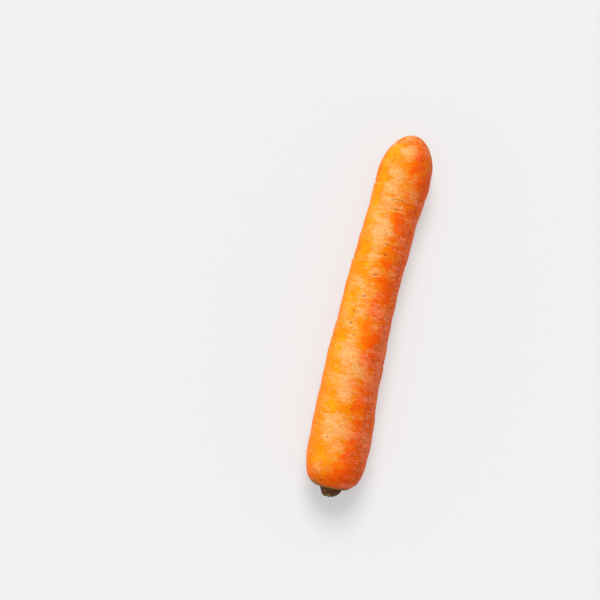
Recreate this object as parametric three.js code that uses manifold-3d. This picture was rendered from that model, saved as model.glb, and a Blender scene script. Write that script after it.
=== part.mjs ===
// A fresh carrot, topped: one storage root and, seated in its crown, the cut bases of its leaf stalks.
// Millimetres, +Z up. The carrot lies along Y with its tip towards +Y, and the origin is at the middle of its
// underside. "Along" is the distance from the crown's rim towards the tip, and "turn" is the angle round the
// root in degrees: 0 is its +X side, 90 its top, 180 its -X side and 270 its underside.
import * as THREE from "three";
import { mergeVertices } from "three/addons/utils/BufferGeometryUtils.js";
import Module from "manifold-3d";

const wasm = await Module();
wasm.setup();

// Driving dimensions of the root. Both lists run from crown to tip in even steps.
const LENGTH = 190; // crown rim to tip
const SIDES = 44; // facets round the root
const RADII = [15.9, 16.3, 15.9, 15.2, 14.9, 14.1, 14.0, 13.8, 13.8, 13.9, 13.9];
const SWAYS = [-1.9, -2.1, -2.3, -2.5, -2.2, -1.7, -0.7, 0.9, 2.3, 3.7, 4.6]; // its middle, sideways
const STEP = LENGTH / (RADII.length - 1);

// Ends: how far the rounding reaches, its fall and squareness, and the share of the radius that stays blunt.
const CROWN = { reach: 24, fall: 2, square: 5.4, blunt: 0, rings: 10 };
const TIP = { reach: 19.5, fall: 2.1, square: 1.4, blunt: 0.14, rings: 10 };

// The dip in the crown that the leaf stalks grow from.
const DIP = { radius: 6.9, depth: 2.2, rim: 8.6, draft: 0.4 };

// How it lies: pressed flat by a little at two low spots, and arched clear of the ground elsewhere.
const LOW_SPOTS = [26, 152];
const SPOT_REACH = 16;
const FLAT_DEPTH = 0.45;
const ARCH = 0.9;

// Uneven growth: the section turns slightly four-sided, and long shallow waves run down the root.
const FOUR_SIDED = { size: 0.28, wave: 84 };
const WAVES = [
  { size: 0.16, wave: 31, lean: 0.9 },
  { size: 0.09, wave: 12.5, lean: 2.1 },
];

// Growth rings: creases part of the way round, with the skin on the crown side standing out as a low ledge.
// Each is [along, turn at its middle, length round the surface].
const UPPER_RINGS = [
  [18, 178, 34], [31.5, 150, 16], [68, 8, 22], [78.5, 176, 30], [121, 182, 32], [157, 12, 24], [162.5, 170, 24],
];
const LOWER_RINGS = { count: 7, first: 14, pitch: 21.5, turn: 268, swing: 48, length: 27 };
const RING_DEPTH = 0.4;
const LEDGE_HEIGHT = 0.22;
const LEDGE_FADE = 5;

// Scars left by side roots: short slits across the root, on its upper side and in files down the rest of it.
const UPPER_SCARS = [
  [167, 61, 5], [154.5, 84, 6.5], [149.4, 88, 8.5], [136, 95, 5], [125, 85, 6], [114, 93, 7],
  [102, 105, 5], [91.5, 47, 5], [87.5, 120, 5.5], [57, 21, 5], [42, 35, 6], [30.5, 32, 7],
];
const SCAR_FILES = [205, 246, 318];
const FILE_SCARS = { count: 7, turnStray: 9, length: 6, lengthStray: 2 };
const SCAR_DEPTH = 0.5;
const CREASE_WIDTH = 1.1; // half of any crease, where it meets the skin
const RING_PITCH = 3.2; // between facets along plain skin

// The cut leaf stalks, nested in a spiral from the outermost in. Shares are of the outermost stalk's figure.
const STALK = {
  count: 10,
  turn: 137.5,
  outer: 5.2, // radius of the outermost stalk's middle
  inner: 1.2,
  wall: 1.7,
  wrap: 58, // half of the angle that the outermost one spans
  innerWrap: 1.6,
  rise: 5.3, // how far the tallest stands past the crown's rim
  outerRise: 0.45,
  rag: 0.1, // unevenness of the cut
  lean: 0.42, // share of its radius that a stalk loses on the way up
  slant: 0.09,
};
const SEAT_GAP = 0.3;

const radians = THREE.MathUtils.degToRad;
const clamp = THREE.MathUtils.clamp;
const lerp = THREE.MathUtils.lerp;

/** A smooth value between evenly spaced ones. */
function between(values, along) {
  const place = clamp(along / STEP, 0, values.length - 1);
  const i = Math.min(Math.floor(place), values.length - 2);
  const f = place - i;
  const [a, b, c, d] = [-1, 0, 1, 2].map((k) => values[clamp(i + k, 0, values.length - 1)]);
  return b + 0.5 * f * (c - a + f * (2 * a - 5 * b + 4 * c - d + f * (3 * (b - c) + d - a)));
}

/** The share of the full radius that an end's rounding leaves at a distance from that end. */
function rounding(end, distance) {
  const inwards = 1 - Math.min(distance / end.reach, 1);
  return lerp(end.blunt, 1, Math.pow(1 - Math.pow(inwards, end.fall), 1 / end.square));
}

function radiusAt(along) {
  return between(RADII, along) * rounding(CROWN, along) * rounding(TIP, LENGTH - along);
}

/** Height of the root's middle above the surface that it lies on. */
function heightAt(along) {
  const near = LOW_SPOTS.map((spot) => Math.exp(-Math.pow((along - spot) / SPOT_REACH, 2)));
  return between(RADII, along) - FLAT_DEPTH + ARCH * (1 - Math.max(...near));
}

/** Every crease as { along, turn, length, depth, ledge }. */
function allCreases() {
  const crease = (depth, ledge) => ([along, turn, length]) => ({ along, turn, length, depth, ledge });
  const rings = UPPER_RINGS.map(crease(RING_DEPTH, LEDGE_HEIGHT));
  for (let k = 0; k < LOWER_RINGS.count; k++) {
    const stray = Math.sin(4.7 * k + 1.3);
    const along = LOWER_RINGS.first + LOWER_RINGS.pitch * (k + 0.2 * stray);
    const turn = LOWER_RINGS.turn + LOWER_RINGS.swing * Math.sin(2.4 * k);
    rings.push(crease(RING_DEPTH, LEDGE_HEIGHT)([along, turn, LOWER_RINGS.length * (1 + 0.3 * stray)]));
  }
  const scars = UPPER_SCARS.map(crease(SCAR_DEPTH, 0));
  const pitch = (LENGTH - CROWN.reach - TIP.reach) / FILE_SCARS.count;
  SCAR_FILES.forEach((fileTurn, file) => {
    for (let k = 0; k < FILE_SCARS.count; k++) {
      const stray = Math.sin(7.3 * k + 2.9 * file);
      const along = CROWN.reach + pitch * (k + 0.5 + 0.3 * stray);
      const length = FILE_SCARS.length + FILE_SCARS.lengthStray * Math.cos(5.1 * k + file);
      scars.push(crease(SCAR_DEPTH, 0)([along, fileTurn + FILE_SCARS.turnStray * stray, length]));
    }
  });
  return [...rings, ...scars];
}
const CREASES = allCreases();

/** How far the skin stands out (+) or in (-) at a place on the root. */
function relief(along, turn) {
  const a = radians(turn);
  let out = FOUR_SIDED.size * Math.sin(2 * a) * Math.sin((2 * Math.PI * along) / FOUR_SIDED.wave + 1);
  for (const w of WAVES)
    out += w.size * Math.sin((2 * Math.PI * along) / w.wave + w.lean * Math.sin(a + w.lean));
  for (const crease of CREASES) {
    const apart = Math.abs(((turn - crease.turn + 540) % 360) - 180);
    const aside = (radians(apart) * radiusAt(crease.along)) / (crease.length / 2);
    const hold = Math.max(0, 1 - aside * aside);
    const past = along - crease.along;
    out -= crease.depth * hold * Math.max(0, 1 - Math.abs(past) / CREASE_WIDTH);
    if (past < 0) out += crease.ledge * hold * Math.exp(past / LEDGE_FADE);
  }
  return out;
}

/** Places of the facet rings along the root: one in every crease, one at each of its edges, and plain ones. */
function ringPlaces() {
  const ends = [];
  const share = Math.pow(DIP.rim / RADII[0], CROWN.square);
  const first = CROWN.reach * (1 - Math.pow(1 - share, 1 / CROWN.fall));
  for (let i = 1; i <= CROWN.rings; i++)
    ends.push(lerp(first, CROWN.reach, Math.pow(i / CROWN.rings, 2)));
  for (let i = 1; i <= TIP.rings; i++)
    ends.push(LENGTH - TIP.reach * Math.pow(i / TIP.rings, 2));
  ends.push(LENGTH);
  const low = CROWN.reach + CREASE_WIDTH;
  const high = LENGTH - TIP.reach - CREASE_WIDTH;
  const wanted = [0, -CREASE_WIDTH, CREASE_WIDTH].flatMap((k) => CREASES.map((c) => c.along + k));
  for (let along = low; along <= high; along += RING_PITCH) wanted.push(along);
  const kept = [];
  for (const place of wanted)
    if (place >= low && place <= high && kept.every((other) => Math.abs(other - place) > 0.9 * CREASE_WIDTH))
      kept.push(place);
  return [...ends, ...kept].sort((p, q) => p - q);
}

/** The root's outline as points (radius, along), from the middle of the crown's dip to the tip. */
function rootOutline() {
  const dip = [
    [0, DIP.depth],
    [DIP.radius, DIP.depth],
    [DIP.radius + DIP.draft, DIP.depth / 2],
    [lerp(DIP.radius + DIP.draft, DIP.rim, 0.4), DIP.depth / 7],
    [DIP.rim, 0],
  ];
  const skin = ringPlaces().map((along) => [radiusAt(along), along]);
  return [...dip, ...skin, [0, LENGTH]].map(([radius, along]) => new THREE.Vector2(radius, along));
}

/** One closed surface with shared corners and no empty triangles. */
function closed(geometry) {
  geometry.deleteAttribute("normal");
  geometry.deleteAttribute("uv");
  const merged = mergeVertices(geometry, 1e-3);
  const kept = [];
  for (let i = 0; i < merged.index.count; i += 3) {
    const [a, b, c] = [0, 1, 2].map((k) => merged.index.getX(i + k));
    if (a !== b && b !== c && c !== a) kept.push(a, b, c);
  }
  merged.setIndex(kept);
  return merged;
}

/** The storage root: a turned shape, then swayed, creased and pressed flat where it lies. */
function rootGeometry() {
  const geometry = new THREE.LatheGeometry(rootOutline(), SIDES);
  const place = geometry.getAttribute("position");
  const blend = DIP.rim / 2; // relief fades in over this much past the rim
  for (let i = 0; i < place.count; i++) {
    const [x, along, z] = [place.getX(i), place.getY(i), place.getZ(i)];
    const radius = Math.hypot(x, z);
    const a = Math.atan2(z, x);
    const turn = (THREE.MathUtils.radToDeg(a) + 360) % 360;
    const crownFade = clamp((radius - DIP.rim) / blend, 0, 1);
    const tipFade = clamp(radius / blend, 0, 1);
    const out = radius + relief(along, turn) * (along > LENGTH / 2 ? tipFade : crownFade);
    const up = heightAt(along) + out * Math.sin(a);
    place.setXYZ(i, between(SWAYS, along) + out * Math.cos(a), along, Math.max(up, 0));
  }
  return closed(geometry);
}

function solidOf(geometry) {
  const vertProperties = new Float32Array(geometry.getAttribute("position").array);
  const triVerts = new Uint32Array(geometry.index.array);
  return new wasm.Manifold(new wasm.Mesh({ numProp: 3, vertProperties, triVerts }));
}

function geometryOf(solid) {
  const mesh = solid.getMesh();
  const geometry = new THREE.BufferGeometry();
  geometry.setAttribute("position", new THREE.BufferAttribute(new Float32Array(mesh.vertProperties), 3));
  geometry.setIndex(new THREE.BufferAttribute(new Uint32Array(mesh.triVerts), 1));
  return geometry;
}

/** A crescent across a stalk: thick in the middle, thin at its wings. */
function crescent(radius, half) {
  const points = 8;
  const outer = [];
  const inner = [];
  for (let k = 0; k <= points; k++) {
    const side = (2 * k) / points - 1;
    const thick = 0.5 * STALK.wall * lerp(0.35, 1, Math.cos((side * Math.PI) / 2));
    const ray = new THREE.Vector2(Math.cos(side * half), Math.sin(side * half));
    outer.push(ray.clone().multiplyScalar(radius + thick));
    inner.unshift(ray.clone().multiplyScalar(Math.max(radius - thick, STALK.wall / 7)));
  }
  return new THREE.Shape([...outer, ...inner]);
}

/** One cut leaf stalk, standing on the seat and leaning in towards the middle. */
function stalkSolid(i) {
  const inwards = i / (STALK.count - 1);
  const radius = lerp(STALK.outer, STALK.inner, inwards);
  const half = radians(STALK.wrap * lerp(1, STALK.innerWrap, inwards));
  const rise = lerp(STALK.outerRise, 1, Math.sqrt(inwards)) - STALK.rag * Math.abs(Math.sin(2.4 * i));
  const height = DIP.depth + STALK.rise * rise;
  const geometry = new THREE.ExtrudeGeometry(crescent(radius, half), {
    depth: height,
    steps: 3,
    bevelEnabled: false,
  });
  const place = geometry.getAttribute("position");
  for (let k = 0; k < place.count; k++) {
    const [x, y, z] = [place.getX(k), place.getY(k), place.getZ(k)];
    const up = z / height;
    const lean = 1 - STALK.lean * Math.pow(up, 1.2) * (height / (DIP.depth + STALK.rise));
    place.setXYZ(k, x * lean, y * lean, z - STALK.slant * x * up);
  }
  geometry.rotateZ(radians(STALK.turn * i));
  return solidOf(closed(geometry));
}

/** The bud that the stalks grow round, wide enough at its foot to carry them all. */
function budSolid() {
  const foot = STALK.outer + STALK.wall / 2;
  const top = DIP.depth + 0.86 * STALK.rise;
  const shares = [[0, 0], [1, 0], [0.95, 0.24], [0.6, 0.4], [0.3, 0.8], [0, 1]];
  const points = shares.map(([out, up]) => new THREE.Vector2(out * foot, up * top));
  const geometry = new THREE.LatheGeometry(points, 20);
  geometry.rotateX(Math.PI / 2);
  return solidOf(closed(geometry));
}

/** All cut stalks grown together, seated in the crown's dip and pointing away from the tip. */
function stalkGeometry() {
  let solid = budSolid();
  for (let i = 0; i < STALK.count; i++) solid = solid.add(stalkSolid(i));
  // The largest shell is the outside, so any hollow closed off between stalks is filled.
  const [outside] = solid.decompose().sort((p, q) => q.volume() - p.volume());
  const geometry = geometryOf(outside);
  geometry.rotateX(Math.PI / 2);
  geometry.translate(between(SWAYS, 0), DIP.depth - SEAT_GAP, heightAt(0));
  return geometry;
}

const rootSkin = new THREE.MeshStandardMaterial({ color: 0xf07a1e, roughness: 0.5, metalness: 0 });
const dryStalk = new THREE.MeshStandardMaterial({ color: 0x3a2412, roughness: 0.75, metalness: 0 });

function named(name, geometry, material) {
  const mesh = new THREE.Mesh(geometry, material);
  mesh.name = name;
  return mesh;
}

const carrot = new THREE.Group();
carrot.add(named("carrot_root", rootGeometry(), rootSkin));
carrot.add(named("leaf_stalk_stub", stalkGeometry(), dryStalk));

// Puts the origin at the middle of the underside.
const bounds = new THREE.Box3().setFromObject(carrot);
const middle = bounds.getCenter(new THREE.Vector3());
carrot.position.set(-middle.x, -middle.y, -bounds.min.z);

export default carrot;
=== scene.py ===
"""One fresh carrot, topped and lying on its side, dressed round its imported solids.

It is laid out as a Blender add-on: each piece has an operator, the sizes and colours are properties, and a
panel lists them. Formulas work in millimetres and meshes hold metres. "Along" is the distance from the rim of
the crown towards the tip. "Turn" is the angle round the root: 0 is its +X side, 90 its top, 270 underneath.
"""

import math
import random
from functools import partial
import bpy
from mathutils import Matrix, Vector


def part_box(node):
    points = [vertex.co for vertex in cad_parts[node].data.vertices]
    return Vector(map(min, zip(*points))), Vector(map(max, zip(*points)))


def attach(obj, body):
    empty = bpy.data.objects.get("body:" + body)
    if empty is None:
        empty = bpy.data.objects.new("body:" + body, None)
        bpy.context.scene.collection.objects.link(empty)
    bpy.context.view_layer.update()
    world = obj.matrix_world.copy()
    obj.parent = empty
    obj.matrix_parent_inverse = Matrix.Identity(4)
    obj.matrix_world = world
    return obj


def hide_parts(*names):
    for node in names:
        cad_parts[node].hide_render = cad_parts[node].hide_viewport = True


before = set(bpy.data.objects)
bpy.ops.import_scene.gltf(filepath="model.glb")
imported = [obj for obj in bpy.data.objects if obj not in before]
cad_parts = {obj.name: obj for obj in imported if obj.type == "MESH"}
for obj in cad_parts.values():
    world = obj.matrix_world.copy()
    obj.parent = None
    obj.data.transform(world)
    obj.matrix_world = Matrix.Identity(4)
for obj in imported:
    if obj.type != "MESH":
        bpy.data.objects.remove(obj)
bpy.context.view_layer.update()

from types import SimpleNamespace

import bmesh
import bpy
import numpy as np
from mathutils import Vector, noise

bl_info = {
    "name": "Fresh Carrot",
    "version": (1, 0, 0),
    "blender": (4, 5, 0),
    "location": "3D View > Sidebar > Carrot",
    "description": "Models a topped carrot with its growth rings, root scars and cut leaf stalks",
    "category": "Object",
}

ROOT_LOW, ROOT_HIGH = (np.array(corner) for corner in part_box("carrot_root"))
STUB_LOW, STUB_HIGH = (np.array(corner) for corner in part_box("leaf_stalk_stub"))
MM = 0.001
SEED = 7

# The root's driving shape, in millimetres. Both lists run from crown to tip in even steps.
LENGTH = float(ROOT_HIGH[1] - ROOT_LOW[1]) / MM
RADII = [15.9, 16.3, 15.9, 15.2, 14.9, 14.1, 14.0, 13.8, 13.8, 13.9, 13.9]
SWAYS = [-1.9, -2.1, -2.3, -2.5, -2.2, -1.7, -0.7, 0.9, 2.3, 3.7, 4.6]  # its middle, sideways
STEP = LENGTH / (len(RADII) - 1)

# Ends: how far the rounding reaches, its fall and squareness, and the share of the radius that stays blunt.
CROWN = {"reach": 24, "fall": 2, "square": 6.2, "blunt": 0}
TIP = {"reach": 19.5, "fall": 2.1, "square": 1.4, "blunt": 0.14}
DIP_FLOOR, DIP_RIM, DIP_DEPTH = 6.2, 8.8, 2.2
CROWN_SHORT = 1.1  # how much less far the crown reaches on its +X side

# How it lies: pressed flat by a little at two low spots, and arched clear of the ground elsewhere.
LOW_SPOTS = [26, 152]
SPOT_REACH = 16
FLAT_DEPTH = 0.45
ARCH = 0.9

# Uneven growth: the section turns slightly four-sided, and waves (height, wavelength, lean) run down it.
FOUR_SIDED = (0.28, 84)
WAVES = [(0.16, 31, 0.9), (0.09, 12.5, 2.1)]

# Bulges: (along, turn, half length, half width, height).
BULGES = [
    (163, 8, 11, 12, 0.8), (60, 176, 9, 9, 0.3), (118, 182, 10, 9, 0.25), (28, 5, 14, 12, 0.35),
    (92, 250, 12, 9, 0.4),
]

# Growth rings: (along, turn at the middle, length round the surface). Side-root scars have a boldness too.
UPPER_RINGS = [
    (18, 178, 34), (31.5, 150, 16), (68, 8, 22), (78.5, 176, 30), (121, 182, 32), (157, 12, 24),
    (162.5, 170, 24),
]
LOWER_RINGS = {"count": 7, "first": 14, "pitch": 21.5, "turn": 268, "swing": 48, "length": 27}
CREASE_WIDTH = 0.55
LEDGE_HEIGHT, LEDGE_EDGE, LEDGE_FADE = 0.22, 0.6, 5  # the low ledge beside a ring's crease
UPPER_SCARS = [
    (167, 61, 5, 0.3), (154.5, 84, 6.5, 0.35), (149.4, 88, 8.5, 0.8), (136, 95, 5, 0.35), (125, 85, 6, 0.3),
    (114, 93, 7, 0.9), (102, 105, 5, 1), (91.5, 47, 5, 0.3), (87.5, 120, 5.5, 0.25), (57, 21, 5, 0.8),
    (42, 35, 6, 0.5), (30.5, 32, 7, 0.6),
]
SCAR_FILES = [205, 246, 318]
FILE_SCARS = {"count": 7, "turn_stray": 9, "length": 6, "length_stray": 2}
SCAR_WIDTH = 0.42
SCAR_LIP = 0.16  # height of the cork beside a scar

FINE_LENGTHS = (6, 26)  # shortest and longest fine ring
FINE_DEPTHS = (0.03, 0.1)  # shallowest and deepest one
MARK_REACH = 3  # no fine ring or fleck shows further along than this

# Dark flecks of cork and soil, each (along, turn, half width).
FLECKS = [
    (154.1, 100, 0.45), (154.6, 94, 0.4), (153.8, 89, 0.4), (154.3, 81, 0.5), (154.1, 74, 0.4),
    (135.6, 95, 0.5), (130.9, 90, 0.4), (130.7, 85, 0.4), (125, 84, 0.6), (93.5, 119, 0.6), (87, 121, 0.7),
    (88.4, 46, 0.6), (85.2, 42, 0.4), (84.6, 37, 0.45), (83.8, 40, 0.35), (69.8, 22, 0.6), (61.7, 15, 0.7),
    (52.8, 25, 0.5), (3.7, 120, 0.8),
]

# Where the skin has dried pale, and where it is still bright: (along, turn, half length, half width).
FADED = [
    (178, 100, 6, 3.5), (165, 109, 7, 4), (158, 74, 5, 5), (153, 111, 6, 3.5), (134, 107, 8, 5),
    (132, 56, 10, 4), (123.8, 96, 1.2, 5), (117, 91, 3, 3), (101, 99, 10, 5), (97, 68, 8, 3),
    (94, 109, 3, 2.5), (87, 110, 4, 4.5), (70.7, 105, 9, 6.5), (79, 36, 18, 3.5), (70, 72, 4, 3),
    (53, 94, 8, 7), (49, 92, 3, 3.5), (30, 105, 10, 7), (22, 39, 9, 4), (10, 126, 4, 4), (3.2, 62, 1.9, 6),
    (183, 38, 5, 3), (150, 230, 16, 6), (118, 300, 20, 5), (84, 215, 14, 6), (58, 268, 16, 7),
    (36, 320, 12, 5), (20, 232, 8, 6),
]
BRIGHT = [
    (168, 142, 8, 4), (170, 58, 5, 5), (153.6, 146, 4, 3.5), (145, 77, 3, 4.5), (141.5, 62, 5, 5),
    (133, 37, 2.5, 2.5), (134, 79, 1.8, 3), (127.5, 47, 3, 3), (121, 79, 4.5, 4.5), (123.5, 134, 4.5, 3.5),
    (112, 84, 3, 3.5), (103.5, 59, 8, 4), (87, 90, 3.5, 5), (79, 78, 3, 6), (80, 134, 2.5, 3.5),
    (69.7, 60, 5, 3), (62, 121, 3, 4), (44, 117, 3.5, 4), (43.5, 63, 3, 6), (12.5, 79, 8, 8),
    (20, 121, 3, 5), (6, 102, 5, 7), (165, 22, 8, 5), (160, 300, 9, 5), (132, 240, 10, 5), (98, 262, 9, 6),
    (70, 318, 9, 4), (40, 225, 8, 5), (16, 285, 8, 7),
]

# Every kind of mark that the mesh of the root carries to its skin.
MARKS = ("scar", "lip", "crease", "fleck", "faded")

# The cut leaf stalks. Each stands a turn on from the last, and wraps further round nearer the middle.
SPIRAL = 137.5
INNER_RADIUS = 0.9
WRAP, INNER_WRAP = 54, 50  # half the angle that the outermost spans, and how much more the innermost does
STALK_LEAN = 0.47  # share of its radius that a stalk loses on the way up
FOOT_REACH = 0.6  # how far the dried foot spreads past the outermost stalk's middle
CUT_TILT = -0.1  # the knife's cut falls away towards +X


def linear(colour):
    """An sRGB hex colour as linear red, green and blue."""
    shares = [int(colour[i:i + 2], 16) / 255 for i in (1, 3, 5)]
    return tuple(c / 12.92 if c <= 0.04045 else ((c + 0.055) / 1.055) ** 2.4 for c in shares)


# ----------------------------------------------------------------------------------------------------------
# Shape of the root


def between(values, along):
    """Smooth values between evenly spaced ones."""
    place = np.clip(np.asarray(along, float) / STEP, 0, len(values) - 1)
    i = np.minimum(place.astype(int), len(values) - 2)
    f = place - i
    a, b, c, d = (np.take(values, np.clip(i + k, 0, len(values) - 1)) for k in (-1, 0, 1, 2))
    return b + 0.5 * f * (c - a + f * (2 * a - 5 * b + 4 * c - d + f * (3 * (b - c) + d - a)))


def rounding(end, distance):
    """The share of the full radius that an end's rounding leaves at a distance from that end."""
    inwards = 1 - np.clip(distance / end["reach"], 0, 1)
    return end["blunt"] + (1 - end["blunt"]) * (1 - inwards ** end["fall"]) ** (1 / end["square"])


def radius_at(along):
    """Radius of the root, before any relief."""
    along = np.asarray(along, float)
    return between(RADII, along) * rounding(CROWN, along) * rounding(TIP, LENGTH - along)


def height_at(along):
    """Height of the root's middle above the surface that it lies on."""
    near = np.max([np.exp(-((along - spot) / SPOT_REACH) ** 2) for spot in LOW_SPOTS], axis=0)
    return between(RADII, along) - FLAT_DEPTH + ARCH * (1 - near)


def smooth(low, high, value):
    """0 below low, 1 above high and an even S between."""
    f = np.clip((value - low) / (high - low), 0, 1)
    return f * f * (3 - 2 * f)


def root_outline(count):
    """Evenly spaced points (radius, along) from the middle of the dip, over its rim and on to the tip."""
    dip_radius = np.linspace(0, DIP_RIM, 80)
    dip_along = DIP_DEPTH * (1 - smooth(DIP_FLOOR, DIP_RIM, dip_radius))
    share = (DIP_RIM / RADII[0]) ** CROWN["square"]
    first = CROWN["reach"] * (1 - (1 - share) ** (1 / CROWN["fall"]))
    f = np.linspace(0, 1, 400)[1:]
    crown_along = first + (CROWN["reach"] - first) * f ** 3
    body_along = np.linspace(CROWN["reach"], LENGTH - TIP["reach"], 600)[1:]
    tip_along = LENGTH - TIP["reach"] * (1 - f) ** 2
    along = np.concatenate([crown_along, body_along, tip_along])
    radius = np.concatenate([dip_radius, radius_at(along), [0]])
    along = np.concatenate([dip_along, along, [LENGTH]])
    run = np.concatenate([[0], np.cumsum(np.hypot(np.diff(radius), np.diff(along)))])
    even = np.linspace(0, run[-1], count)
    return np.interp(even, run, radius), np.interp(even, run, along)


def root_creases():
    """Every growth ring and scar, with the files of scars that run down the root's hidden sides."""
    rings = list(UPPER_RINGS)
    for k in range(LOWER_RINGS["count"]):
        stray = math.sin(4.7 * k + 1.3)
        along = LOWER_RINGS["first"] + LOWER_RINGS["pitch"] * (k + 0.2 * stray)
        turn = LOWER_RINGS["turn"] + LOWER_RINGS["swing"] * math.sin(2.4 * k)
        rings.append((along, turn, LOWER_RINGS["length"] * (1 + 0.3 * stray)))
    scars = list(UPPER_SCARS)
    pitch = (LENGTH - CROWN["reach"] - TIP["reach"]) / FILE_SCARS["count"]
    for file, file_turn in enumerate(SCAR_FILES):
        for k in range(FILE_SCARS["count"]):
            stray = math.sin(7.3 * k + 2.9 * file)
            along = CROWN["reach"] + pitch * (k + 0.5 + 0.3 * stray)
            length = FILE_SCARS["length"] + FILE_SCARS["length_stray"] * math.cos(5.1 * k + file)
            boldness = 0.6 + 0.4 * math.sin(3.1 * k + file)
            scars.append((along, file_turn + FILE_SCARS["turn_stray"] * stray, length, boldness))
    return rings, scars


def aside(turn, middle, along):
    """Signed distance round the surface from a turn, in millimetres."""
    return np.radians((turn - middle + 540) % 360 - 180) * radius_at(along)


def noise_at(points, scale, stretch=(1, 1, 1)):
    """Blender's noise, about -1 to 1, at points in millimetres, in lumps of about scale millimetres."""
    scaled = points * (np.array(stretch) / scale)
    return np.fromiter((noise.noise(Vector(p)) for p in scaled), float, len(scaled))


def hump(distance, half_width):
    """1 where the distance is nought, falling off on both sides in a bell of that half width."""
    return np.exp(-(distance / half_width) ** 2)


def held(side, half_length):
    """1 at the middle of a mark, falling to 0 at its ends."""
    return np.clip(1 - (side / half_length) ** 2, 0, 1)


def spread(skin, where, middle, half_length, half_width):
    """The squared distance of each point from a patch's middle, on a scale where its edge is at 1."""
    across = aside(skin.turn, middle, skin.along) / half_width
    return ((skin.along - where) / half_length) ** 2 + across ** 2


def leave(skin, name, strength, where=slice(None)):
    """Leaves a mark at some points of the skin, wherever it is stronger than what is there."""
    skin.marks[name][where] = np.maximum(skin.marks[name][where], strength)


def grow_unevenly(skin, straight):
    """Waves, bulges and lumps that a root gets as it pushes through soil."""
    a = np.radians(skin.turn)
    skin.out = FOUR_SIDED[0] * np.sin(2 * a) * np.sin(2 * math.pi * skin.along / FOUR_SIDED[1] + 1)
    for height, wave, lean in WAVES:
        skin.out += height * np.sin(2 * math.pi * skin.along / wave + lean * np.sin(a + lean))
    for where, middle, half_length, half_width, height in BULGES:
        skin.out += height * np.exp(-spread(skin, where, middle, half_length, half_width))
    skin.out += 0.14 * noise_at(straight, 11) + 0.05 * noise_at(straight, 4, (1, 1.6, 1))


def crease_ring(skin, depth, where, middle, length):
    """A growth ring: a crease part of the way round, with a low ledge on its crown side."""
    side = aside(skin.turn, middle, where)
    hold = held(side, length / 2)
    past = skin.along - where - 0.7 * skin.wander
    skin.out -= depth * hold * hump(past, CREASE_WIDTH)
    ledge = LEDGE_HEIGHT * hold * np.exp(past / LEDGE_FADE) * (1 - np.exp(past / LEDGE_EDGE))
    skin.out += np.where(past < 0, ledge, 0)
    leave(skin, "crease", hold * hump(past, 0.5))
    leave(skin, "lip", 0.5 * hold * hump(past + 0.9, 0.6))


def open_scar(skin, depth, draw, where, middle, length, boldness):
    """A side root's scar: a short slit across the root between two raised lips of cork."""
    side = aside(skin.turn, middle, where)
    slant = draw.uniform(-0.1, 0.1)
    sag = draw.uniform(-0.02, 0.06)
    past = skin.along - where - slant * side + sag * side ** 2 - 0.25 * skin.wander
    hold = held(side, length / 2)
    width = SCAR_WIDTH * (0.4 + 0.6 * hold)
    groove = hold * hump(past, width)
    lips = held(side, 0.62 * length) * hump(np.abs(past) - 0.95, 0.5)
    skin.out += (SCAR_LIP * lips - depth * groove) * (0.4 + 0.6 * boldness)
    dark = held(side, length / 4) * hump(past, width)
    leave(skin, "scar", boldness * dark)
    pale = held(side, 0.9 * length) * hump(np.abs(past) - 0.8, 0.5)
    leave(skin, "lip", (0.3 + 0.7 * boldness) * pale)


def score_fine_ring(skin, draw):
    """One short shallow line across the root. They lie closer together towards the crown."""
    where = LENGTH * draw.random() ** 1.15
    middle = draw.uniform(0, 360)
    length = draw.uniform(*FINE_LENGTHS)
    depth = draw.uniform(*FINE_DEPTHS)
    near = np.abs(skin.along - where) < MARK_REACH
    side = aside(skin.turn[near], middle, where)
    hold = held(side, length / 2)
    past = skin.along[near] - where - 0.8 * skin.wander[near] - draw.uniform(-0.03, 0.03) * side
    skin.out[near] -= depth * hold * hump(past, 0.4)
    skin.out[near] += 0.6 * depth * hold * hump(past + 0.8, 0.5)
    leave(skin, "crease", 4 * depth * hold * hump(past, 0.35), near)
    crest = 9 * depth * hold * hump(past + 0.7, 0.35)
    leave(skin, "lip", crest * draw.random() ** 1.5, near)


def dot_flecks(skin, count, draw):
    """The placed flecks and a number of smaller ones, which lie thickest on the side away from the light."""
    flecks = list(FLECKS)
    for _ in range(count):
        middle = draw.gauss(300, 70) % 360
        flecks.append((LENGTH * draw.random() ** 1.2, middle, draw.uniform(0.2, 0.5)))
    for where, middle, half in flecks:
        near = np.abs(skin.along - where) < MARK_REACH
        side = aside(skin.turn[near], middle, where)
        distance = ((skin.along[near] - where) / half) ** 2 + (side / (1.5 * half)) ** 2
        leave(skin, "fleck", np.exp(-distance), near)


def fade_patches(skin):
    """Raises the faded mark where the skin has dried and lowers it where it is still bright."""
    for patches, strength in ((FADED, 1), (BRIGHT, -1)):
        total = np.zeros(len(skin.along))
        for patch in patches:
            total = np.maximum(total, np.exp(-0.7 * spread(skin, *patch)))
        skin.marks["faded"] += strength * total


def root_relief(sizes, along, turn, straight):
    """How far the skin stands out, with how strongly each kind of mark shows, at every point of the root."""
    skin = SimpleNamespace(along=along, turn=turn, marks={name: np.zeros(len(along)) for name in MARKS})
    skin.wander = noise_at(straight + 40, 9, (1, 0.3, 1))
    grow_unevenly(skin, straight)
    rings, scars = root_creases()
    for ring in rings:
        crease_ring(skin, sizes.ring_depth / MM, *ring)
    draw = random.Random(SEED)
    for scar in scars:
        open_scar(skin, sizes.scar_depth / MM, draw, *scar)
    for _ in range(sizes.fine_rings):
        score_fine_ring(skin, draw)
    dot_flecks(skin, sizes.flecks, draw)
    fade_patches(skin)
    skin.out += 0.03 * noise_at(straight, 1.5, (0.25, 1, 0.25)) * (1 + skin.marks["faded"])
    return skin.out, skin.marks


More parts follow.
